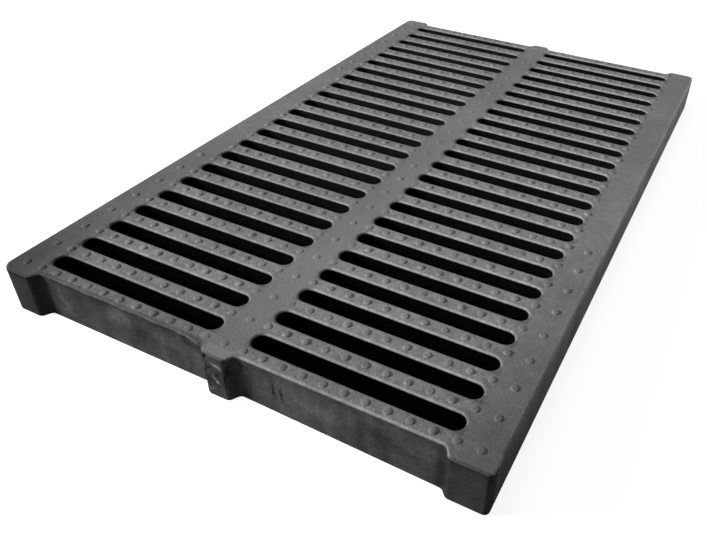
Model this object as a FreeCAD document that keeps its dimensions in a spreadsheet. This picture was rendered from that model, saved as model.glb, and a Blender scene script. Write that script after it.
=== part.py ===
# Gully grate: one moulded slab with two columns of drain slots, rows of anti-slip studs on
# the bars between them, and three lugs on each short end.
# Millimetres. The origin is the middle of the underside. +X runs across the grate, +Y along
# its length, and +Z up to the face that is walked on.
import FreeCAD, Part
import os
import Sketcher

SIZES = [
    # the slots: two columns of them, each slot wider at the underside by its draft on each side
    ("slot_length", 177.0),
    ("slot_width", 16.0),
    ("slot_draft", 0.8),
    ("slot_pitch", 31.3),
    ("slot_rows", 23),
    ("slot_end_flats", 7),
    # the solid stretches round the slots; the end rims reach out to the faces of the lugs
    ("side_rim", 32.7),
    ("end_rim", 22.7),
    ("spine_width", 30.6),
    # the slab, without the studs
    ("thickness", 43.8),
    ("corner_radius", 8.0),
    ("edge_break", 1.7),
    # the lugs that centre the grate in its seat, and the flanks beside them
    ("lug_depth", 8.8),
    ("corner_lug_width", 32.0),
    ("middle_lug_width", 20.0),
    ("flank_run", 4.8),
    ("flank_radius", 4.5),
    # the studs, in rows that reach to a margin from each long side
    ("stud_size", 6.8),
    ("stud_height", 1.2),
    ("stud_columns", 25),
    ("stud_margin", 14.7),
    # the rows with no stud on a side rim: the middle ones on the left, the far ones on the right
    ("left_bare_rows", 8),
    ("right_bare_rows", 15),
]

HALF_WIDTH = "(Sizes.side_rim + Sizes.slot_length + Sizes.spine_width / 2)"
HALF_SLOT_SPAN = "((Sizes.slot_rows - 1) * Sizes.slot_pitch / 2)"
HALF_LENGTH = f"({HALF_SLOT_SPAN} + Sizes.slot_width / 2 + Sizes.end_rim)"


def make_sheet(doc):
    """The driving sizes, one named cell each."""
    sheet = doc.addObject("Spreadsheet::Sheet", "Sizes")
    for row, (name, value) in enumerate(SIZES, start=1):
        sheet.set(f"A{row}", name)
        sheet.set(f"B{row}", str(value))
        sheet.setAlias(f"B{row}", name)
    doc.recompute()
    return sheet


def draw_polygon(sketch, corners):
    """A closed outline whose corners are tied to pairs of X and Y formulas."""
    count = len(corners)
    circle = Part.makeCircle(1.0).discretize(count + 1)
    for edge in range(count):
        sketch.addGeometry(Part.LineSegment(circle[edge], circle[edge + 1]), False)
    for edge, formulas in enumerate(corners):
        before = (edge - 1) % count
        sketch.addConstraint(Sketcher.Constraint("Coincident", before, 2, edge, 1))
        for kind, formula in zip(("DistanceX", "DistanceY"), formulas):
            index = sketch.addConstraint(Sketcher.Constraint(kind, -1, 1, edge, 1, 1.0))
            sketch.setExpression(f"Constraints[{index}]", formula)


def quarter_corners():
    """The plan's corners in the quarter with positive X and Y, from the middle lug outwards."""
    floor = f"({HALF_LENGTH} - Sizes.lug_depth)"
    corner_lug = f"({HALF_WIDTH} - Sizes.corner_lug_width)"
    return [
        ("Sizes.middle_lug_width / 2", HALF_LENGTH),
        ("(Sizes.middle_lug_width / 2 + Sizes.flank_run)", floor),
        (f"({corner_lug} - Sizes.flank_run)", floor),
        (corner_lug, HALF_LENGTH),
        (HALF_WIDTH, HALF_LENGTH),
    ]


def plan_corners():
    """The whole plan's corners, clockwise from the middle of the far end."""
    quarter = quarter_corners()
    near_right = [(x, f"-{y}") for x, y in reversed(quarter)]
    near_left = [(f"-{x}", f"-{y}") for x, y in quarter]
    far_left = [(f"-{x}", y) for x, y in reversed(quarter)]
    return quarter + near_right + near_left + far_left


def upright_edges(shape, wanted):
    """The names of a prism's upright edges at places that pass a test of X and Y."""
    names = []
    for number, edge in enumerate(shape.Edges, start=1):
        low, high = edge.Vertexes[0].Point, edge.Vertexes[-1].Point
        if abs(low.x - high.x) + abs(low.y - high.y) < 0.001 and wanted(abs(low.x), abs(low.y)):
            names.append(f"Edge{number}")
    return names


def make_slab(doc, sheet):
    """The slab with its lugs: the plan, padded up, its corners rounded and its top edge broken."""
    body = doc.addObject("PartDesign::Body", "Slab")
    plan = body.newObject("Sketcher::SketchObject", "Plan")
    ground = next(item for item in body.Origin.OriginFeatures if item.Role == "XY_Plane")
    plan.AttachmentSupport = (ground, [""])
    plan.MapMode = "FlatFace"
    draw_polygon(plan, plan_corners())

    pad = body.newObject("PartDesign::Pad", "Prism")
    pad.Profile = plan
    pad.setExpression("Length", "Sizes.thickness")
    doc.recompute()

    side = pad.Shape.BoundBox.XMax - 0.001
    corners = body.newObject("PartDesign::Fillet", "Corners")
    corners.Base = (pad, upright_edges(pad.Shape, lambda x, y: x > side))
    corners.setExpression("Radius", "Sizes.corner_radius")
    doc.recompute()

    inside = side - sheet.get("corner_radius")
    flanks = body.newObject("PartDesign::Fillet", "Flanks")
    flanks.Base = (corners, upright_edges(corners.Shape, lambda x, y: x < inside))
    flanks.setExpression("Radius", "Sizes.flank_radius")
    doc.recompute()

    top = flanks.Shape.BoundBox.ZMax
    rim = [f"Edge{number}" for number, edge in enumerate(flanks.Shape.Edges, start=1)
           if edge.BoundBox.ZMin > top - 0.001]
    broken = body.newObject("PartDesign::Chamfer", "Top_edge")
    broken.Base = (flanks, rim)
    broken.setExpression("Size", "Sizes.edge_break")
    doc.recompute()
    return body


def slot_section(doc, sheet, name, height, half_width):
    """The right middle slot's outline at one height: straight sides and faceted round ends."""
    outer = "(Sizes.spine_width / 2 + Sizes.slot_length - Sizes.slot_width / 2)"
    inner = "(Sizes.spine_width / 2 + Sizes.slot_width / 2)"
    flats = int(sheet.get("slot_end_flats"))
    corners = []
    for centre, first in ((outer, -90.0), (inner, 90.0)):
        for step in range(flats + 1):
            angle = first + 180.0 * step / flats
            corners.append((f"{centre} + {half_width} * cos({angle} deg)",
                            f"{half_width} * sin({angle} deg)"))
    section = doc.addObject("Sketcher::SketchObject", name)
    if height:
        section.setExpression(".Placement.Base.z", height)
    draw_polygon(section, corners)
    return section


def make_slot(doc, sheet):
    """The space of one slot: it narrows upwards by its draft and opens at the broken top edge."""
    at_wall = "(Sizes.slot_width / 2)"
    sections = [
        slot_section(doc, sheet, "Slot_foot", "", f"({at_wall} + Sizes.slot_draft)"),
        slot_section(doc, sheet, "Slot_neck", "Sizes.thickness - Sizes.edge_break", at_wall),
        slot_section(doc, sheet, "Slot_mouth", "Sizes.thickness", f"({at_wall} + Sizes.edge_break)"),
    ]
    slot = doc.addObject("Part::Loft", "Slot")
    slot.Sections = sections
    slot.Solid = True
    slot.Ruled = True
    doc.recompute()
    return slot


def place_slots(doc, sheet, slot):
    """Every slot: the rows of the right column, and the same turned half round for the left one."""
    rows, pitch = int(sheet.get("slot_rows")), sheet.get("slot_pitch")
    spaces = []
    for row in range(rows):
        space = slot.Shape.copy()
        space.translate(FreeCAD.Vector(0, (row - (rows - 1) / 2) * pitch, 0))
        spaces.append(space)
        turned = space.copy()
        turned.rotate(FreeCAD.Vector(0, 0, 0), FreeCAD.Vector(0, 0, 1), 180)
        spaces.append(turned)
    slots = doc.addObject("Part::Feature", "Slots")
    slots.Shape = Part.makeCompound(spaces)
    return slots


def make_stud(doc):
    """One stud, a low four-sided pyramid, standing on the slab over the origin."""
    stud = doc.addObject("Part::Wedge", "Stud")
    for low, high in (("Xmin", "Xmax"), ("Zmin", "Zmax")):
        stud.setExpression(low, "-Sizes.stud_size / 2")
        stud.setExpression(high, "Sizes.stud_size / 2")
    for name in ("Ymin", "X2min", "X2max", "Z2min", "Z2max"):
        setattr(stud, name, 0)
    stud.setExpression("Ymax", "Sizes.stud_height")
    stud.Placement.Rotation = FreeCAD.Rotation(FreeCAD.Vector(1, 0, 0), 90)
    stud.setExpression(".Placement.Base.z", "Sizes.thickness")
    doc.recompute()
    return stud


def stud_rows(sheet):
    """Where the rows of studs lie along Y: on the middle of every bar and of each end rim."""
    rows, pitch = int(sheet.get("slot_rows")), sheet.get("slot_pitch")
    bars = [(row - rows / 2) * pitch for row in range(1, rows)]
    rim = sheet.get("end_rim") - sheet.get("lug_depth")
    end = (rows - 1) / 2 * pitch + sheet.get("slot_width") / 2 + rim / 2
    return [-end] + bars + [end]


def place_studs(doc, sheet, slab, stud):
    """Every stud, but for the bare stretches of the two side rims."""
    columns = int(sheet.get("stud_columns"))
    reach = slab.Shape.BoundBox.XMax - sheet.get("stud_margin")
    across = [reach * (2 * column / (columns - 1) - 1) for column in range(columns)]
    along = stud_rows(sheet)
    left_bare, right_bare = int(sheet.get("left_bare_rows")), int(sheet.get("right_bare_rows"))
    left_start = (len(along) - left_bare) // 2
    bare = {(0, left_start + row) for row in range(left_bare)}
    bare |= {(columns - 1, len(along) - 1 - row) for row in range(right_bare)}
    points = [FreeCAD.Vector(x, y, 0) for column, x in enumerate(across)
              for row, y in enumerate(along) if (column, row) not in bare]
    studs = doc.addObject("Part::Feature", "Studs")
    studs.Shape = Part.makeCompound([stud.Shape.translated(point) for point in points])
    return studs


def make_grate(doc, slab, slots, studs):
    """The finished moulding: the slab less its slots, with the studs standing on it."""
    grate = doc.addObject("Part::Feature", "Grate")
    grate.Label = "grate"
    grate.Shape = slab.Shape.cut(slots.Shape).fuse(studs.Shape)
    return grate


def check(doc, part):
    """Stops if any object failed to build, or if the part has no sound shape."""
    for item in doc.Objects:
        if "Invalid" in item.State or "Error" in item.State:
            raise RuntimeError(f"{item.Label} failed: {item.State}")
    if part.Shape.isNull() or not part.Shape.isValid():
        raise RuntimeError(f"{part.Label} has no valid shape")


doc = FreeCAD.newDocument("gully_grate")
sheet = make_sheet(doc)
slab = make_slab(doc, sheet)
slots = place_slots(doc, sheet, make_slot(doc, sheet))
studs = place_studs(doc, sheet, slab, make_stud(doc))
grate = make_grate(doc, slab, slots, studs)
doc.recompute()
check(doc, grate)

os.makedirs("parts", exist_ok=True)
grate.Shape.exportStep(f"parts/{grate.Label}.step")
box = grate.Shape.BoundBox
print(f"grate {box.XLength:.1f} x {box.YLength:.1f} x {box.ZLength:.1f} mm,"
      f" {len(grate.Shape.Solids)} solid, {grate.Shape.Volume / 1e6:.3f} litres")
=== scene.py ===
# %% [markdown]
# # A moulded gully grate
# A gully grate lets rain off a street and carries the feet and wheels that cross it. This one
# is pressed in one go from resin and glass fibre: a slab, two columns of slots, lugs on both
# short ends that centre it in its frame, and hundreds of low domes that keep soles from
# slipping. The dimensioned model gives every size. Here the same moulding is built again with
# what a mould and a street really leave: rounded edges, round slot ends, soft domes and a torn
# lug.

# %% Open the dimensioned model
import math
import random

import bmesh
import bpy
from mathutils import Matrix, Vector


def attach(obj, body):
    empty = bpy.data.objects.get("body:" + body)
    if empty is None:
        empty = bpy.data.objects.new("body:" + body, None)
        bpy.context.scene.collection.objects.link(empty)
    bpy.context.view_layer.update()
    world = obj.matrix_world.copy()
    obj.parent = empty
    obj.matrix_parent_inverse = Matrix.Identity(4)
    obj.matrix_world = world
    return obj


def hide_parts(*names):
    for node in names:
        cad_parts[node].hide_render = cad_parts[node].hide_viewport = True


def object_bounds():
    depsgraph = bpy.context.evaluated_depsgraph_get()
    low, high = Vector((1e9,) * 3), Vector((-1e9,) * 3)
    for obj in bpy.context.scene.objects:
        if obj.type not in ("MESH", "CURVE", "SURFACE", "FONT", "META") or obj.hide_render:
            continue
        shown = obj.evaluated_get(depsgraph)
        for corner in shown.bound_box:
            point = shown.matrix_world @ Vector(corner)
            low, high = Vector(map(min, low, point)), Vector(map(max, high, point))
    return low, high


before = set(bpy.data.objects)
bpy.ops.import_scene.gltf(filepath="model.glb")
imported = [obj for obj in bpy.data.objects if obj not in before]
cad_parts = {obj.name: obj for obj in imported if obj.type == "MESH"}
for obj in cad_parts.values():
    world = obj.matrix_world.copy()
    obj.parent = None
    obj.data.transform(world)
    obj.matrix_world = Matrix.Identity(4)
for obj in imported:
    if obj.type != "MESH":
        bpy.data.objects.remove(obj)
cad_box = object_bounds()
print("Dimensioned grate, low and high corner:", [tuple(corner) for corner in cad_box])

# %% [markdown]
# The work is done in millimetres, as a mould maker would, and brought to metres at the very
# end. The plan and the height come from the dimensioned model. The other sizes are the ones
# that it was drawn with.

# %% Sizes in millimetres
TO_METRES = 0.001
HALF_WIDTH, HALF_LENGTH, HEIGHT = (round(size / TO_METRES, 3) for size in cad_box[1])
STUD_HEIGHT = 1.2
TOP = HEIGHT - STUD_HEIGHT
LUG_DEPTH = 8.8
FLOOR_LINE = HALF_LENGTH - LUG_DEPTH
CORNER_LUG = 32.0
MIDDLE_LUG = 20.0
FLANK_RUN = 4.8
SLOT_ROWS = 23
SLOT_PITCH = 31.3
SLOT_HALF = 8.0
SLOT_DRAFT = 0.8
SLOT_INNER = 15.3
SLOT_OUTER = 192.3
print(f"Plan {2 * HALF_WIDTH} x {2 * HALF_LENGTH} mm, face at {TOP} mm")

# %% [markdown]
# Blender's operators act on whatever is selected, so a modeller picks first and acts second.
# These helpers pick by place, the way that a hand would drag a box round some corners. The
# dimensioned model comes in selected, so nothing may stay picked before the work starts.

# %% Pick and push
NEAR = 0.01


def begin(name):
    """Names the primitive that was just added and opens it in edit mode."""
    piece = bpy.context.active_object
    piece.name = piece.data.name = name
    bpy.ops.object.mode_set(mode="EDIT")
    bpy.ops.mesh.select_mode(type="VERT")
    return piece


def pick(piece, wanted):
    """Selects the corners whose x, y and z pass a test, and what lies between them."""
    bpy.ops.mesh.select_all(action="DESELECT")
    work = bmesh.from_edit_mesh(piece.data)
    for vertex in work.verts:
        if wanted(*vertex.co):
            vertex.select_set(True)
    work.select_flush(True)
    bmesh.update_edit_mesh(piece.data)
    return sum(vertex.select for vertex in work.verts)


def pick_faces(piece, wanted):
    """Selects the faces that pass a test."""
    bpy.ops.mesh.select_all(action="DESELECT")
    work = bmesh.from_edit_mesh(piece.data)
    for face in work.faces:
        if wanted(face):
            face.select_set(True)
    bmesh.update_edit_mesh(piece.data)
    return sum(face.select for face in work.faces)


def pick_rims(piece, height):
    """Selects the open edges that lie at one height."""
    bpy.ops.mesh.select_all(action="DESELECT")
    work = bmesh.from_edit_mesh(piece.data)
    count = 0
    for edge in work.edges:
        if edge.is_boundary and all(abs(end.co.z - height) < NEAR for end in edge.verts):
            edge.select_set(True)
            count += 1
    bmesh.update_edit_mesh(piece.data)
    return count


def push(x=0.0, y=0.0, z=0.0):
    """Moves the selected corners."""
    bpy.ops.transform.translate(value=(x, y, z))


def finish_edit():
    """Closes edit mode."""
    bpy.ops.object.mode_set(mode="OBJECT")


bpy.ops.object.select_all(action="DESELECT")
print("Objects still picked:", len(bpy.context.selected_objects))

# %% [markdown]
# ## The plan
# The outline could be typed in as points. It is quicker to follow as shaping: a rectangle the
# size of the slab without its lugs, cut across where each lug starts, and each lug pulled out
# of its own short stretch of edge. The sloped flank comes from moving the pulled corner
# inwards.

# %% Draw the plan
STRAIGHT = math.radians(1)

bpy.ops.mesh.primitive_plane_add(size=1)
slab = begin("moulding")
bpy.ops.transform.resize(value=(2 * HALF_WIDTH, 2 * FLOOR_LINE, 1), center_override=(0, 0, 0))
push(z=TOP)

corner_foot = HALF_WIDTH - CORNER_LUG - FLANK_RUN
middle_foot = MIDDLE_LUG / 2 + FLANK_RUN
lug_feet = [(-HALF_WIDTH, -corner_foot), (-middle_foot, middle_foot), (corner_foot, HALF_WIDTH)]
for cut in (-corner_foot, -middle_foot, middle_foot, corner_foot):
    bpy.ops.mesh.select_all(action="SELECT")
    bpy.ops.mesh.bisect(plane_co=(cut, 0, 0), plane_no=(1, 0, 0))

for end in (-1, 1):
    for low, high in lug_feet:
        pick(slab, lambda x, y, z: low - NEAR < x < high + NEAR and abs(y - end * FLOOR_LINE) < NEAR)
        bpy.ops.mesh.extrude_edges_move(TRANSFORM_OT_translate={"value": (0, end * LUG_DEPTH, 0)})
        for foot, inward in ((low, FLANK_RUN), (high, -FLANK_RUN)):
            if abs(foot) < HALF_WIDTH - NEAR:
                pick(slab, lambda x, y, z: abs(x - foot) < NEAR and abs(y - end * HALF_LENGTH) < NEAR)
                push(x=inward)

bpy.ops.mesh.select_all(action="SELECT")
bpy.ops.mesh.dissolve_limited(angle_limit=STRAIGHT)
print("Plan corners:", len(bmesh.from_edit_mesh(slab.data).verts))

# %% [markdown]
# A mould has no sharp corners, because the resin wouldn't flow into them and they would crack.
# Bevelling a corner point of a flat face turns it into an arc, which is simpler to pick here
# than the upright edge that the corner becomes later. The two near corners have been knocked
# out of true. The lip left of the middle gets many extra points, to be torn further on.

# %% Round the plan's corners
CORNER_RADIUS = 8.0
NEAR_RIGHT_RADIUS = 4.5
NEAR_LEFT_RADIUS = 11.0
CORNER_STEPS = 8
FLANK_ROUND = 2.7
FLANK_STEPS = 5
LIP_CUTS = 80


def round_points(radius, steps, wanted):
    """Turns the picked corners of a flat outline into arcs."""
    found = pick(slab, wanted)
    bpy.ops.mesh.bevel(offset=radius, segments=steps, affect="VERTICES", clamp_overlap=False)
    return found


def is_corner(x, y):
    """One of the plan's four outermost corners."""
    return abs(x) > HALF_WIDTH - NEAR and abs(y) > HALF_LENGTH - NEAR


round_points(NEAR_RIGHT_RADIUS, CORNER_STEPS, lambda x, y, z: is_corner(x, y) and x > 0 > y)
round_points(NEAR_LEFT_RADIUS, CORNER_STEPS, lambda x, y, z: is_corner(x, y) and x < 0 and y < 0)
round_points(CORNER_RADIUS, CORNER_STEPS, lambda x, y, z: is_corner(x, y))
lug_edge = HALF_WIDTH - CORNER_LUG
flanks = round_points(FLANK_ROUND, FLANK_STEPS, lambda x, y, z: abs(x) < lug_edge + NEAR)

pick(slab, lambda x, y, z: x < 0 and abs(y + FLOOR_LINE) < NEAR)
bpy.ops.mesh.subdivide(number_cuts=LIP_CUTS)
print("Rounded flank points:", flanks, "in", len(bmesh.from_edit_mesh(slab.data).verts))

# %% [markdown]
# ## The slab
# The plan is pulled down to the underside. The top edge of the moulding is soft enough to catch
# a line of light, and the underside has only a slight edge where the press closed. The walls
# are cut across at several heights, closer together towards the top, so that there are corners
# to push about later. A narrow flat collar inside the rounded edge keeps the shading of the big
# flat face clean.

# %% Pull the plan down and soften its edges
EDGE_ROUND = 2.0
EDGE_STEPS = 4
UNDER_BREAK = 0.6
COLLAR = 0.3
WALL_CUTS = (7, 14, 21, 28, 34, 38, 41)
MANY_CORNERS = 60


def is_big_flat(face):
    """The face that is walked on, or the underside: no other has so many corners."""
    return len(face.verts) > MANY_CORNERS


bpy.ops.mesh.select_all(action="SELECT")
bpy.ops.mesh.extrude_region_move(TRANSFORM_OT_translate={"value": (0, 0, -TOP)})
bpy.ops.mesh.select_all(action="SELECT")
bpy.ops.mesh.normals_make_consistent(inside=False)
pick(slab, lambda x, y, z: z > TOP - NEAR)
bpy.ops.mesh.bevel(offset=EDGE_ROUND, segments=EDGE_STEPS, profile=0.5, affect="EDGES",
                   clamp_overlap=False)
pick(slab, lambda x, y, z: z < NEAR)
bpy.ops.mesh.bevel(offset=UNDER_BREAK, segments=1, affect="EDGES", clamp_overlap=False)
for height in WALL_CUTS:
    bpy.ops.mesh.select_all(action="SELECT")
    bpy.ops.mesh.bisect(plane_co=(0, 0, height), plane_no=(0, 0, 1))

pick_faces(slab, is_big_flat)
bpy.ops.mesh.inset(thickness=COLLAR, use_even_offset=True)
pick_faces(slab, is_big_flat)
bpy.ops.mesh.delete(type="ONLY_FACE")
print("Open edges on top:", pick_rims(slab, TOP), "and below:", pick_rims(slab, 0.0))

# %% [markdown]
# ## The worn end
# On the near end, left of the middle, the lip isn't straight: resin tore here as the press
# opened, and the middle lug has been knocked since. Carving it by hand would do, but couldn't
# be repeated. Proportional editing pushes chosen places in or out and lets the corners round
# them follow, which leaves soft dents. The flat front of the middle lug is divided first, so
# that it has corners to push.

# %% Knock the lip and the lug
# Each knock: where it is across and up, how far in it goes, and how far its pull reaches.
LIP_KNOCKS = [(-150, 42, 0.4, 9), (-133, 42, -0.6, 8), (-112, 42, 0.4, 9), (-96, 42, -0.5, 6),
              (-80, 42, 0.5, 8), (-66, 42, -0.7, 7), (-44, 42, 0.5, 7), (-36, 42, -0.5, 5),
              (-25, 42, -1.4, 9), (-18, 42, -3.2, 9), (-16, 26, -1.2, 9),
              (182, 2, -3.0, 12), (186, 18, -1.5, 9)]
LUG_KNOCKS = [(-7, 40, 2.6, 4), (-3, 30, 1.3, 4), (5, 24, 1.5, 4), (-5, 17, 1.2, 4),
              (3, 12, 1.2, 3), (-7, 8, 1.4, 4)]
LUG_CUTS = 3
END_ZONE = 3.0
LUG_ZONE = 1.0
FACING = 0.9


def is_near_end(vertex):
    """A corner of the near end's skin, but not of an open rim."""
    return vertex.co.y < END_ZONE - FLOOR_LINE and not vertex.is_boundary


def is_lug_front(face):
    """The upright front of the near middle lug."""
    middle = face.calc_center_median()
    in_front = face.normal.y < -FACING and middle.y < LUG_ZONE - HALF_LENGTH
    return in_front and abs(middle.x) < MIDDLE_LUG and middle.z > UNDER_BREAK


def knock(spot, height, depth, reach):
    """Pushes the closest corner of the near end in by a depth, and less what is within reach."""
    work = bmesh.from_edit_mesh(slab.data)
    skin = [vertex for vertex in work.verts if is_near_end(vertex)]
    closest = min(skin, key=lambda vertex: math.hypot(vertex.co.x - spot, vertex.co.z - height))
    bpy.ops.mesh.select_all(action="DESELECT")
    closest.select_set(True)
    bmesh.update_edit_mesh(slab.data)
    bpy.ops.transform.translate(value=(0, depth, 0), use_proportional_edit=True,
                                proportional_edit_falloff="SMOOTH", proportional_size=reach)


for place_and_size in LIP_KNOCKS:
    knock(*place_and_size)
scarred = pick_faces(slab, is_lug_front)
bpy.ops.mesh.subdivide(number_cuts=LUG_CUTS)
for place_and_size in LUG_KNOCKS:
    knock(*place_and_size)
print("Knocks:", len(LIP_KNOCKS) + len(LUG_KNOCKS), "divided faces:", scarred)

# %% [markdown]
# Torn resin is ragged as well as dented. The corners along the lip and on the left of the lug
# are scattered a little at random, from a fixed seed, and then kept inside the slab's own box,
# so that nothing stands out further than the lug itself.

# %% Scatter the torn corners
LIP_SPAN = (-140, -11)
LIP_BELOW = (0.4, 5)
LUG_SPAN = (-18, 6)
RAGGED = 0.5
RAGGED_SEED = 11


def is_torn(vertex):
    """A corner along the torn lip, or on the torn side of the middle lug."""
    x, below = vertex.co.x, TOP - vertex.co.z
    on_lip = LIP_SPAN[0] < x < LIP_SPAN[1] and LIP_BELOW[0] < below < LIP_BELOW[1]
    on_lug = LUG_SPAN[0] < x < LUG_SPAN[1] and EDGE_ROUND < below < TOP - UNDER_BREAK
    return is_near_end(vertex) and (on_lip or on_lug)


bpy.ops.mesh.select_all(action="DESELECT")
work = bmesh.from_edit_mesh(slab.data)
for vertex in work.verts:
    if is_torn(vertex):
        vertex.select_set(True)
bmesh.update_edit_mesh(slab.data)
bpy.ops.transform.vertex_random(offset=RAGGED, seed=RAGGED_SEED)
work = bmesh.from_edit_mesh(slab.data)
for vertex in work.verts:
    vertex.co.y = max(vertex.co.y, -HALF_LENGTH)
    vertex.co.z = min(max(vertex.co.z, 0.0), TOP)
print("Ragged corners:", sum(vertex.select for vertex in work.verts))
finish_edit()

# %% [markdown]
# ## The slots
# Each slot could be cut out of the slab with a boolean, but the cut leaves long thin faces that
# shade badly, and a sharp edge at the mouth. Instead one slot's wall is made and then repeated.
# It starts as a round well: a ring at the mouth, drawn down step by step over the rounded edge,
# along the wall and out through the underside. Sliding one half of the well away then turns the
# circle into the long slot. The wall leans out a little towards the underside, so that the
# moulding lets go of the steel.

# %% Make one slot
SLOT_POINTS = 32

wall_rings = []
for step in range(EDGE_STEPS + 1):
    turn = math.radians(90 * step / EDGE_STEPS)
    wall_rings.append((SLOT_HALF + EDGE_ROUND * (1 - math.sin(turn)),
                       TOP - EDGE_ROUND * (1 - math.cos(turn))))
wall_rings.append((SLOT_HALF + SLOT_DRAFT, UNDER_BREAK))
wall_rings.append((SLOT_HALF + SLOT_DRAFT + UNDER_BREAK, 0.0))


def draw_rings(radius, height, rings):
    """Extrudes an open ring through a list of radii and heights."""
    for next_radius, next_height in rings:
        bpy.ops.mesh.extrude_edges_move(
            TRANSFORM_OT_translate={"value": (0, 0, next_height - height)})
        ratio = next_radius / radius
        bpy.ops.transform.resize(value=(ratio, ratio, 1), center_override=(0, 0, 0))
        radius, height = next_radius, next_height


mouth = SLOT_HALF + EDGE_ROUND + COLLAR
bpy.ops.mesh.primitive_circle_add(vertices=SLOT_POINTS, radius=mouth, fill_type="NOTHING")
slots = begin("slot_walls")
bpy.ops.transform.rotate(value=math.pi / SLOT_POINTS, orient_axis="Z", center_override=(0, 0, 0))
push(z=TOP)
draw_rings(mouth, TOP, wall_rings)
outer_half = pick(slots, lambda x, y, z: x > 0)
push(x=SLOT_OUTER - SLOT_HALF)
pick(slots, lambda x, y, z: x < SLOT_HALF * 2)
push(x=SLOT_INNER + SLOT_HALF)
bpy.ops.mesh.select_all(action="SELECT")
push(y=-(SLOT_ROWS - 1) / 2 * SLOT_PITCH)
finish_edit()
print("Corners in each half of a slot:", outer_half)

# %% Repeat it in two columns
repeat = slots.modifiers.new("rows", "ARRAY")
repeat.count = SLOT_ROWS
repeat.use_relative_offset = False
repeat.use_constant_offset = True
repeat.constant_offset_displace = (0, SLOT_PITCH, 0)
mirror = slots.modifiers.new("columns", "MIRROR")
mirror.use_mirror_merge = False
for modifier in ("rows", "columns"):
    bpy.ops.object.modifier_apply(modifier=modifier)
print("Faces in all the slots:", len(slots.data.polygons))

# %% [markdown]
# ## The studs
# Each stud is a low dome that runs out softly into the face. Hundreds of them are needed, so
# one dome has only ten sides and five rings. It could be cut from a ball, but a ball has most
# of its faces where they don't show.

# %% Make one stud
STUD_SIDES = 10
STUD_FOOT = 3.95
STUD_RINGS = [(3.6, 0.0), (3.3, 0.55), (2.6, 1.0), (1.4, 1.17)]

bpy.ops.mesh.primitive_circle_add(vertices=STUD_SIDES, radius=STUD_FOOT, fill_type="NOTHING")
dome = begin("stud")
push(z=TOP)
draw_rings(STUD_FOOT, TOP, [(radius, TOP + rise) for radius, rise in STUD_RINGS])
bpy.ops.mesh.extrude_edges_move(
    TRANSFORM_OT_translate={"value": (0, 0, STUD_HEIGHT - STUD_RINGS[-1][1])})
bpy.ops.mesh.merge(type="CENTER")
finish_edit()
print("Faces in one stud:", len(dome.data.polygons))

# %% [markdown]
# The studs stand in rows, one on the middle of each bar and of each end rim. Some stretches of
# the two side rims are bare: the rows beside the middle of the left rim and those at the far
# end of the right one. Feet and wheels have worn the studs unevenly, and most on the spine, so
# each copy is lowered by a share of its own. An array would make them all alike.

# %% Set out the studs
STUD_COLUMNS = 25
STUD_MARGIN = 14.7
STUD_REACH = HALF_WIDTH - STUD_MARGIN
LEFT_BARE = range(8, 16)
RIGHT_BARE = range(9, 24)
SPINE_COLUMNS = (11, 12, 13)
SPINE_WEAR = 0.5
LOWEST = 0.52
WEAR_LEAN = 1.5
WEAR_SEED = 7

slots_end = (SLOT_ROWS - 1) / 2 * SLOT_PITCH + SLOT_HALF
end_row = (slots_end + FLOOR_LINE) / 2
bar_rows = [(row - SLOT_ROWS / 2) * SLOT_PITCH for row in range(1, SLOT_ROWS)]
stud_rows = [-end_row] + bar_rows + [end_row]


def is_bare(column, row):
    """A place on a side rim where no stud stands."""
    return (column == 0 and row in LEFT_BARE) or (column == STUD_COLUMNS - 1 and row in RIGHT_BARE)


draw = random.Random(WEAR_SEED)
placed = []
for column in range(STUD_COLUMNS):
    x = STUD_REACH * (2 * column / (STUD_COLUMNS - 1) - 1)
    for row, y in enumerate(stud_rows):
        if is_bare(column, row):
            continue
        stud = dome.copy()
        stud.data = dome.data.copy()
        height = LOWEST + (1 - LOWEST) * draw.random() ** WEAR_LEAN
        height *= SPINE_WEAR if column in SPINE_COLUMNS else 1.0
        stud.location = (x, y, TOP * (1 - height))
        stud.scale.z = height
        bpy.context.collection.objects.link(stud)
        placed.append(stud)
bpy.data.objects.remove(dome)
print("Studs:", len(placed))

# %% [markdown]
# ## One moulding
# The slab's skin, the slot walls and the studs all end in open rims at the same height. Joined
# and filled, the flat face runs between them and the whole thing becomes one closed skin,
# which is what a moulding is. The underside is filled in the same way. Filling goes wrong where
# many corners share one X, so the moulding is turned a little first and turned back after.

# %% Join and close the skin
FILL_TURN = math.radians(7)
MERGE_WITHIN = 0.001
CUBIC_MM_IN_A_LITRE = 1e6


def turn_all(angle):
    """Turns the whole piece about the upright axis."""
    bpy.ops.mesh.select_all(action="SELECT")
    bpy.ops.transform.rotate(value=angle, orient_axis="Z", center_override=(0, 0, 0))


bpy.ops.object.select_all(action="DESELECT")
for part in placed + [slots, slab]:
    part.select_set(True)
bpy.context.view_layer.objects.active = slab
bpy.ops.object.join()
bpy.ops.object.mode_set(mode="EDIT")

turn_all(FILL_TURN)
for height in (TOP, 0.0):
    rims = pick_rims(slab, height)
    bpy.ops.mesh.fill(use_beauty=True)
    print("Closed", rims, "open edges at", height, "mm")
turn_all(-FILL_TURN)
bpy.ops.mesh.select_all(action="SELECT")
bpy.ops.mesh.remove_doubles(threshold=MERGE_WITHIN)
bpy.ops.mesh.normals_make_consistent(inside=False)
work = bmesh.from_edit_mesh(slab.data)
print("Open edges left:", sum(not edge.is_manifold for edge in work.edges),
      "triangles:", sum(len(face.verts) - 2 for face in work.faces),
      "litres:", round(work.calc_volume() / CUBIC_MM_IN_A_LITRE, 3))
finish_edit()

# %% Bring it to metres
SMOOTH_BELOW = math.radians(32)

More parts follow.
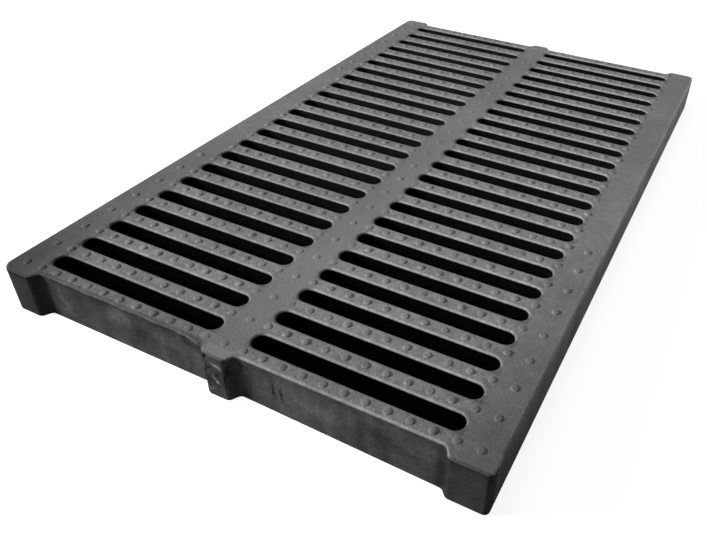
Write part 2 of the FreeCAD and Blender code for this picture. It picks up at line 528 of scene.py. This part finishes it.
slab.scale = (TO_METRES,) * 3
bpy.ops.object.transform_apply(location=False, rotation=False, scale=True)
bpy.ops.object.shade_smooth_by_angle(angle=SMOOTH_BELOW)
print("Moulding in metres:", tuple(round(size, 4) for size in slab.dimensions))

# %% [markdown]
# ## The material
# Glass-filled resin comes out of the press dark grey and matt, and the street stains it. Much of
# the light and shade is painted into the colour as well: painted shade in the slots, on the near
# end and in the lee of the studs and bars, and painted light on the long sides, on the studs and
# along the rounded edges. A picture wrapped round the mesh would be quick, but it is sharp at one
# distance only and holds the light of one day. Here the finish is worked out from where each
# point lies in the object: one grey is multiplied by a row of levels near one, and the cells
# below make these levels one after the other.

# %% A small kit for shader nodes
GREY = (0.157, 0.159, 0.163)


def add_node(tree, kind, inputs=None, **settings):
    """Adds a shader node, sets its options, and fills its sockets with values or links."""
    node = tree.nodes.new(kind)
    for name, value in settings.items():
        setattr(node, name, value)
    for name, value in (inputs or {}).items():
        socket = node.inputs[name]
        if isinstance(value, bpy.types.NodeSocket):
            tree.links.new(value, socket)
        else:
            socket.default_value = value
    return node


def ramp(tree, value, low, high, to_low=0.0, to_high=1.0):
    """Maps a value from one range to another, and keeps it inside."""
    mapped = add_node(tree, "ShaderNodeMapRange",
                      {"Value": value, "From Min": low, "From Max": high,
                       "To Min": to_low, "To Max": to_high})
    return mapped.outputs["Result"]


def combine(tree, kind, first, second=0.0):
    """Does a sum on two values, or on one where the kind of sum needs no more."""
    return add_node(tree, "ShaderNodeMath", {0: first, 1: second}, operation=kind).outputs[0]


def combine_vectors(tree, kind, first, second):
    """Does a sum on two vectors, or on a vector and a number where it is scaled."""
    other = "Scale" if kind == "SCALE" else 1
    node = add_node(tree, "ShaderNodeVectorMath", {0: first, other: second}, operation=kind)
    return node.outputs["Vector"]


composite = bpy.data.materials.new("moulded_composite")
composite.use_nodes = True
resin = composite.node_tree
shader = resin.nodes["Principled BSDF"]
print("New material:", composite.name, "with base grey", GREY)

# %% [markdown]
# Every level needs to know where it is. The object's own coordinates are split into across,
# along and up and brought back to millimetres, so that places read as they did in the plan. A
# patch is one inside its bounds and zero outside, with soft edges, and it is a product of
# ramps. These short helpers all draw in the composite's own tree.

# %% Places, patches and levels
place = add_node(resin, "ShaderNodeTexCoord").outputs["Object"]
place_in_mm = combine_vectors(resin, "SCALE", place, 1 / TO_METRES)
axes = add_node(resin, "ShaderNodeSeparateXYZ", {"Vector": place_in_mm})
across, along, up = (axes.outputs[name] for name in "XYZ")
from_spine = combine(resin, "ABSOLUTE", across)
from_middle = combine(resin, "ABSOLUTE", along)


def times(first, *others):
    """Multiplies values with one another."""
    for other in others:
        first = combine(resin, "MULTIPLY", first, other)
    return first


def plus(first, second):
    """Adds two values."""
    return combine(resin, "ADD", first, second)


def minus(first, second):
    """Takes the second value from the first."""
    return combine(resin, "SUBTRACT", first, second)


def spread(value, low, high, at_low, at_high):
    """Goes evenly from one level to another while a value goes from low to high."""
    return ramp(resin, value, low, high, at_low, at_high)


def patch(*bounds):
    """A patch. Each bound is an axis, the place where it is zero and the place where it is one."""
    return times(*(ramp(resin, axis, none_at, full_at) for axis, none_at, full_at in bounds))


def level(where, amount):
    """An amount within a patch, and one elsewhere."""
    return spread(where, 0.0, 1.0, 1.0, amount)


def choose(where, within, elsewhere):
    """One value within a patch, and another elsewhere."""
    return plus(times(where, within), times(minus(1.0, where), elsewhere))


def noise(scale, detail, stretch=(1, 1, 1)):
    """Noise with so many features in a metre, drawn out where the stretch is under one."""
    spaced = add_node(resin, "ShaderNodeMapping", {"Vector": place, "Scale": stretch})
    made = add_node(resin, "ShaderNodeTexNoise",
                    {"Vector": spaced.outputs["Vector"], "Scale": scale, "Detail": detail})
    return made.outputs["Fac"]


print("Nodes for places:", len(resin.nodes))

# %% [markdown]
# The walls of the slots lie deep in shadow and are painted nearly black, as painted shade.
# Shadow alone would leave them too light, because the key lamp reaches some of the walls, so
# their skin is made darker, and darkest towards the near end.

# %% Darken the slots
slot_area = patch((from_spine, 196, 193.5), (from_middle, 356, 354))
below_face = patch((up, 43.0, 41.9))
# Painted shade: the slot walls are made nearly black, darkest towards the near end.
painted_slot_shade = times(spread(along, -310, 0, 0.006, 0.026), spread(across, -20, 20, 1.4, 1.0))
slot_shade_level = level(times(slot_area, below_face), painted_slot_shade)
print("Nodes with the slots:", len(resin.nodes))

# %% [markdown]
# The outer sides have streaks from top to bottom, where the resin rose in the mould, and
# blotches where it stuck. Both are noise: the streaks are drawn out along the height, and the
# blotches are not. The near end faces the key lamp, so it is painted darker than the long sides,
# as painted shade, and darker again just under its top edge. It is also lighter in its middle
# and darker towards its outer corners, darker over its left half, and lighter again at its left
# corner. The long sides are painted lighter towards the top, the far end and the right, as
# painted light, most on the right side, which the key lamp doesn't reach.

# %% Mark the outer sides and paint their light and shade
STREAKS = {"scale": 55.0, "detail": 3.0, "stretch": (1, 1, 0.12)}
BLOTCHES = {"scale": 26.0, "detail": 4.0}

outer_side = times(minus(1.0, slot_area), below_face)
near_end = patch((along, -364.5, -365.5))
marks = plus(noise(**STREAKS), noise(**BLOTCHES))
# Painted light: the long sides are made lighter towards the top, the far end and the right.
long_side_marks_and_painted_light = times(spread(marks, 0.75, 1.25, 0.68, 1.2), spread(up, 26, 38, 1.0, 1.25),
                        spread(along, -370, 200, 0.72, 1.15), spread(across, -100, 100, 1.0, 1.4))
# Painted shade: the near end is made darker than the long sides, and darker under its top edge.
near_end_marks_and_painted_shade = times(spread(marks, 0.75, 1.25, 0.24, 0.60), spread(up, 30, 41, 1.0, 0.72),
                       spread(from_spine, 50, 200, 1.12, 0.8),
                       spread(across, -190, -130, 1.4, 1.0), spread(across, -30, 0, 0.78, 1.0))
print("Nodes with the sides:", len(resin.nodes))

# %% [markdown]
# The near end also has scuffs and dark stains that noise won't put in the right place. Each is
# an oval that is moved, turned and sized by a Mapping node. The place that it reads wanders a
# little with noise, so the oval's outline is as uneven as a real scuff's. Four of the ovals are
# painted light and shade instead: two light ones lift the shadows that the left and middle lugs
# cast, and two dark ones deepen the shade on those lugs' right flanks.

# %% Scuffs, stains and painted shading on the near end
# The ovals at x -182.5 and 21.5 are painted light that lifts the shadows cast by the left and middle
# lugs; those at x -191 and 13 are painted shade on the lugs' right flanks.
# Each spot: the x and z of its middle, its slope in degrees, its half length and half width,
# and how much lighter or darker the skin is there.
SPOTS = [
    (0, 22, 90, 26, 11, -0.35), (3, 34.5, -12, 6.5, 2.8, 3.5), (0.5, 20.5, -65, 6.5, 2.4, 2.8),
    (2.4, 16.5, 0, 2.9, 2.9, 2.2), (-4, 9, 30, 7, 2, 0.8), (-5, 27, -60, 6, 1.3, 0.9),
    (21.5, 22, 90, 24, 3.2, 0.8), (-110, 30, 20, 24, 11, 0.8), (-56, 30, 0, 17, 11, 0.6),
    (-167, 23, 100, 20, 5, 0.6), (-80, 40.5, 0, 1.8, 1.8, 0.9), (90, 20, 10, 22, 10, 0.5),
    (10, 26, 82, 16, 1.5, -0.75), (-6.6, 41.5, 0, 3, 2, -0.9), (47.8, 23.5, 90, 11, 2, -0.75),
    (54.5, 21.5, 92, 10, 2, -0.75), (-191, 20, 90, 26, 4, -0.2), (-182.5, 24, 90, 26, 5.5, 0.7),
    (13, 20, 90, 26, 3, -0.4), (-82, 24, 30, 13, 9, -0.5), (-27, 36, -20, 16, 8, -0.5),
    (186, 20, 90, 26, 6, -0.45), (190.5, 22, 90, 30, 5.5, -0.55), (140, 24, -15, 30, 8, -0.4),
]
SPOT_CORE = 0.35
ALL_DEPTHS = 1e6
WANDER = 6.0
WANDER_SCALE = 160.0
NOISE_MIDDLE = (0.5, 0.5, 0.5)

swirl = add_node(resin, "ShaderNodeTexNoise",
                 {"Vector": place, "Scale": WANDER_SCALE, "Detail": 2.0}).outputs["Color"]
swirl = combine_vectors(resin, "SUBTRACT", swirl, NOISE_MIDDLE)
swirl = combine_vectors(resin, "SCALE", swirl, WANDER)
astray = combine_vectors(resin, "ADD", place_in_mm, swirl)
for mid_x, mid_z, slope, half_length, half_width, gain in SPOTS:
    oval = add_node(resin, "ShaderNodeMapping",
                    {"Vector": astray, "Location": (mid_x, 0, mid_z),
                     "Rotation": (0, -math.radians(slope), 0),
                     "Scale": (half_length, ALL_DEPTHS, half_width)},
                    vector_type="TEXTURE")
    reach = add_node(resin, "ShaderNodeVectorMath", {0: oval.outputs["Vector"]}, operation="LENGTH")
    spot_mark_and_painted_shading = spread(reach.outputs["Value"], SPOT_CORE, 1.0, 1.0 + gain, 1.0)
    near_end_marks_and_painted_shade = times(near_end_marks_and_painted_shade, spot_mark_and_painted_shading)
side_marks_and_painted_shading = level(outer_side, choose(near_end, near_end_marks_and_painted_shade, long_side_marks_and_painted_light))
print("Spots:", len(SPOTS), "nodes:", len(resin.nodes))

# %% [markdown]
# A fine light line is painted along the rounded edges, as a painted highlight where they catch
# the lamps. It could be found with a Pointiness or Bevel node, but the one asks for a dense mesh
# and the other is slow, while the height alone says where the edge is. The painted highlight is
# strongest down the right side, and a strip of the near lip is painted light as well.

# %% Paint highlights along the edges
HIGHLIGHT_GAIN = (0.2, 0.56)
RIGHT_HIGHLIGHT_GAIN = (1.5, 1.95)
NEAR_STRIP_HIGHLIGHT = 1.22

rounded_edge = patch((up, 42.0, 42.6), (up, 43.85, 43.65))
right_edge = patch((across, 222.6, 223.6), (up, 39.5, 41.5))
near_strip = patch((along, -361.5, -365.0), (up, 43.4, 43.7), (across, -16, -8), (across, 188, 182))
# Painted highlight: the rounded edges are made lighter, most down the right side.
highlit = times(plus(times(rounded_edge, spread(across, -20, 20, *HIGHLIGHT_GAIN)), 1.0),
               level(right_edge, spread(along, -200, -50, *RIGHT_HIGHLIGHT_GAIN)),
               level(near_strip, NEAR_STRIP_HIGHLIGHT))
print("Nodes with the rubbed edges:", len(resin.nodes))

# %% [markdown]
# Where the lip is torn, the painted highlight is left out and the broken resin stays dull. The
# lip lies further back between the lugs than on them, so two patches are made and chosen
# between. The deep nick beside the middle lug is darker still, and the round ends of the slots
# are painted darker too, as painted shade that tones down the key lamp's light on them.

# %% Dull the torn lip and paint shade on the slot ends
TORN_AMOUNT = 0.62
NICK_AMOUNT = 0.55
SLOT_END_SHADE = 0.62

between_lugs = patch((from_spine, 12, 16), (from_spine, 192, 187))
near_lip = choose(between_lugs, patch((along, -361.5, -364.5)), patch((along, -372.5, -373.5)))
torn_stretch = plus(patch((across, 22, 12)), patch((across, 187, 192)))
torn_lip = times(near_lip, torn_stretch, patch((up, 40.5, 42.0)))
nick = times(near_end, patch((up, 39.5, 40.8), (up, 43.8, 43.6), (across, -20, -17),
                             (across, -8.5, -10.5)))
# Painted shade: the lips at the round ends of the slots are made darker.
shaded_slot_ends = times(plus(patch((from_spine, 21.5, 18.5)), patch((from_spine, 187, 190))),
                  patch((from_middle, 356, 354), (up, 41.0, 42.2), (up, 43.85, 43.65)))
lip_highlight_and_shade = times(choose(torn_lip, TORN_AMOUNT, highlit), level(nick, NICK_AMOUNT),
                  level(shaded_slot_ends, SLOT_END_SHADE))
print("Nodes with the torn lip:", len(resin.nodes))

# %% [markdown]
# The face is darker in broad soft areas: over the near end, and down both rims beside it. It
# gets lighter and lighter towards the far right corner. The resin is also clouded where its
# flow met, and mottled and speckled in the small. The spine and the side rims are smoother.

# %% Dark areas, clouds and mottling
NEAR_END_DARKENING = (0.68, 0.75)
LEFT_RIM_DARKENING = 0.4
RIGHT_RIM_DARKENING = 0.68
DIAGONAL_SLOPE = 0.8
SMOOTH_RIM = 0.6
CLOUDS = {"scale": 14.0, "detail": 4.0}
MOTTLE = {"scale": 120.0, "detail": 4.0}
SPECKLE = {"scale": 330.0, "detail": 3.0}

near_half = patch((along, -80, -360))
# Darker over the near end and down both rims beside it, and lighter towards the far right corner.
near_end_darker = level(patch((along, -310, -370)), spread(across, -30, 30, *NEAR_END_DARKENING))
left_rim_darker = level(times(patch((across, -150, -210)), near_half), LEFT_RIM_DARKENING)
right_rim_darker = level(times(patch((across, 170, 210)), near_half), RIGHT_RIM_DARKENING)
far_right = plus(along, times(across, DIAGONAL_SLOPE))
lighter_to_far_right = spread(far_right, -300, 350, 0.93, 1.16)
clouds = spread(noise(**CLOUDS), 0.35, 0.65, 0.92, 1.08)
mottle = spread(noise(**MOTTLE), 0.35, 0.65, 0.88, 1.12)
speckle = spread(noise(**SPECKLE), 0.3, 0.7, 0.82, 1.18)
on_spine = patch((from_spine, 17, 11))
smoothness = plus(on_spine, spread(from_spine, 194, 199, 0.0, SMOOTH_RIM))
mottling = choose(smoothness, 1.0, times(mottle, speckle))
print("Nodes with the soil:", len(resin.nodes))

# %% [markdown]
# Each stud is painted darker on the side that points right and away, as painted shade where the
# key lamp's light doesn't fall, and a little lighter on its lit side, as painted light. The far
# lip of each bar is painted darker too, as painted shade where it turns from the lamps. Painting
# hundreds of studs by hand would take a day. They stand at even steps, so the place within a
# step says how far a point is from the middle of its stud: that middle is at a whole number of
# steps across, and at a half step of the slots' pitch along.

# %% Paint shade in the lee of the studs and bars
LEE_RIGHT, LEE_AWAY = 0.85, 0.53
LIT_SIDE_AMOUNT = 1.04
LEE_SHADE_AMOUNT = (0.85, 0.95)
BAR_LIP_SHADE = 0.66

stud_step = 2 * STUD_REACH / (STUD_COLUMNS - 1)
share_across = combine(resin, "FRACT", plus(combine(resin, "DIVIDE", across, stud_step), 0.5))
share_along = combine(resin, "FRACT", combine(resin, "DIVIDE", along, SLOT_PITCH))
off_stud_x = times(minus(share_across, 0.5), stud_step)
off_stud_y = times(minus(share_along, 0.5), SLOT_PITCH)
lee = patch((plus(times(off_stud_x, LEE_RIGHT), times(off_stud_y, LEE_AWAY)), 0.6, 2.6))
far_left = minus(along, times(across, DIAGONAL_SLOPE))
lee_shade_amount = spread(far_left, -100, 300, *LEE_SHADE_AMOUNT)
# Painted light and shade on the studs: a little lighter on the lit side, darker in the lee.
stud_light_and_shade = level(patch((up, 43.82, 44.0)), spread(lee, 0.0, 1.0, LIT_SIDE_AMOUNT, lee_shade_amount))
# Painted shade along the far lip of each bar.
shaded_bar_lip = times(patch((off_stud_y, 4.9, 6.9)), minus(slot_area, on_spine))
bar_lip_shade_level = level(shaded_bar_lip, BAR_LIP_SHADE)
print("Nodes with the studs:", len(resin.nodes))

# %% [markdown]
# All the levels are multiplied with the base grey. The skin is matt, a little uneven in its
# gloss, and duller still in the slots and on the torn lip. Two bumps finish it: a fine grain
# from the glass fibre, and a slow swell from the way that resin shrinks.

# %% Put the finish together
GLOSS, TORN_GLOSS = 0.07, 0.02
SHEEN = {"scale": 55.0, "detail": 3.0}
GRAIN = {"scale": 520.0, "detail": 3.0}
SWELL = {"scale": 60.0, "detail": 2.0}
GRAIN_DEPTH = 0.0006
SWELL_DEPTH = 0.0015

# Several of these levels are painted light and shade: the slots, the sides, the edges, the studs and
# the bar lips.
finish = times(clouds, mottling, slot_shade_level, side_marks_and_painted_shading, lip_highlight_and_shade, stud_light_and_shade, bar_lip_shade_level,
               near_end_darker, left_rim_darker, right_rim_darker, lighter_to_far_right)
colour = combine_vectors(resin, "SCALE", GREY, finish)
roughness = spread(noise(**SHEEN), 0.35, 0.65, 0.54, 0.66)
# The slots' painted shade also takes out their gloss.
gloss = times(slot_shade_level, spread(torn_lip, 0.0, 1.0, GLOSS, TORN_GLOSS))
grain = add_node(resin, "ShaderNodeBump",
                 {"Height": noise(**GRAIN), "Strength": 0.6, "Distance": GRAIN_DEPTH})
swell = add_node(resin, "ShaderNodeBump",
                 {"Height": noise(**SWELL), "Strength": 0.4, "Distance": SWELL_DEPTH,
                  "Normal": grain.outputs["Normal"]})
for made, socket in ((colour, "Base Color"), (roughness, "Roughness"),
                     (gloss, "Specular IOR Level"), (swell.outputs["Normal"], "Normal")):
    resin.links.new(made, shader.inputs[socket])
print("Nodes in all:", len(resin.nodes))

# %% Give the moulding its finish and its place in the model
slab.data.materials.clear()
slab.data.materials.append(composite)
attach(slab, "root")
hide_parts("grate")
print("Materials on the moulding:", [material.name for material in slab.data.materials])

# %% [markdown]
# ## The studio
# Goods are often shown on plain white. A lit white floor would need so much light that the dark
# grate lost its shape, so this floor glows, but only to the camera. It still takes the shadow,
# and it lights the grate only with what it reflects.

# %% Floor
FLOOR_SIZE = 12
PAPER = 0.35
PAPER_GLOW = 0.86
WHITE = (1, 1, 1, 1)

bpy.ops.mesh.primitive_plane_add(size=FLOOR_SIZE, location=(0, 0, 0))
floor = bpy.context.active_object
floor.name = "floor"
paper = bpy.data.materials.new("white_paper")
paper.use_nodes = True
tree = paper.node_tree
tree.nodes.remove(tree.nodes["Principled BSDF"])
matt = add_node(tree, "ShaderNodeBsdfDiffuse", {"Color": (PAPER, PAPER, PAPER, 1)})
seen = add_node(tree, "ShaderNodeLightPath").outputs["Is Camera Ray"]
glow = add_node(tree, "ShaderNodeEmission",
                {"Color": WHITE, "Strength": combine(tree, "MULTIPLY", seen, PAPER_GLOW)})
both = add_node(tree, "ShaderNodeAddShader", {0: matt.outputs[0], 1: glow.outputs[0]})
tree.links.new(both.outputs[0], tree.nodes["Material Output"].inputs["Surface"])
floor.data.materials.append(paper)
print("Floor:", FLOOR_SIZE, "m wide")

# %% [markdown]
# Three soft lamps point at the grate. The key lamp stands low at the front left and lights the
# left of every stud. A weak one hangs overhead, and a low one behind on the right draws the
# far edges. The surroundings are white to the camera and give only a weak light.

# %% Light
# Each lamp: its name, where it stands, its width in metres and its power in watts.
LAMPS = [("overhead", (-0.3, -0.1, 2.0), 1.0, 9), ("key", (-1.75, -1.25, 0.85), 0.5, 102),
         ("rim", (1.5, 2.2, 0.25), 0.6, 20)]
SKY_LIGHT, SKY_SEEN = 0.17, 1.0


def add_lamp(name, location, size, power):
    """A square soft lamp that points at the origin."""
    bpy.ops.object.light_add(type="AREA", location=location)
    lamp = bpy.context.active_object
    lamp.name = name
    lamp.data.shape = "SQUARE"
    lamp.data.size = size
    lamp.data.energy = power
    lamp.rotation_euler = Vector(location).to_track_quat("Z", "Y").to_euler()


for values in LAMPS:
    add_lamp(*values)

world = bpy.context.scene.world or bpy.data.worlds.new("studio")
bpy.context.scene.world = world
world.use_nodes = True
tree = world.node_tree
tree.nodes.clear()
seen = add_node(tree, "ShaderNodeLightPath").outputs["Is Camera Ray"]
strength = ramp(tree, seen, 0.0, 1.0, SKY_LIGHT, SKY_SEEN)
sky = add_node(tree, "ShaderNodeBackground", {"Color": WHITE, "Strength": strength})
add_node(tree, "ShaderNodeOutputWorld", {"Surface": sky.outputs[0]})
print("Lamps:", [name for name, *_ in LAMPS])

# %% [markdown]
# The camera looks down on the grate over its near right corner. Its place, turn and lens were
# worked out from the edges and slot ends that are seen. The picture isn't centred on the lens's
# own middle, and the shift allows for that.

# %% Camera
CAMERA_PLACE = (0.29483, -0.64211, 0.41743)
CAMERA_TURN = (52.929, -2.135, 26.347)
LENS = 35.72
SENSOR = 36
SHIFT = (-0.1038, -0.0092)
NEAREST_SEEN = 0.01

bpy.ops.object.camera_add(location=CAMERA_PLACE,
                          rotation=[math.radians(angle) for angle in CAMERA_TURN])
camera = bpy.context.active_object
camera.data.sensor_width = SENSOR
camera.data.lens = LENS
camera.data.shift_x, camera.data.shift_y = SHIFT
camera.data.clip_start = NEAREST_SEEN
bpy.context.scene.camera = camera
bpy.context.scene.view_settings.view_transform = "Standard"
print("Camera at", tuple(round(value, 3) for value in camera.location))
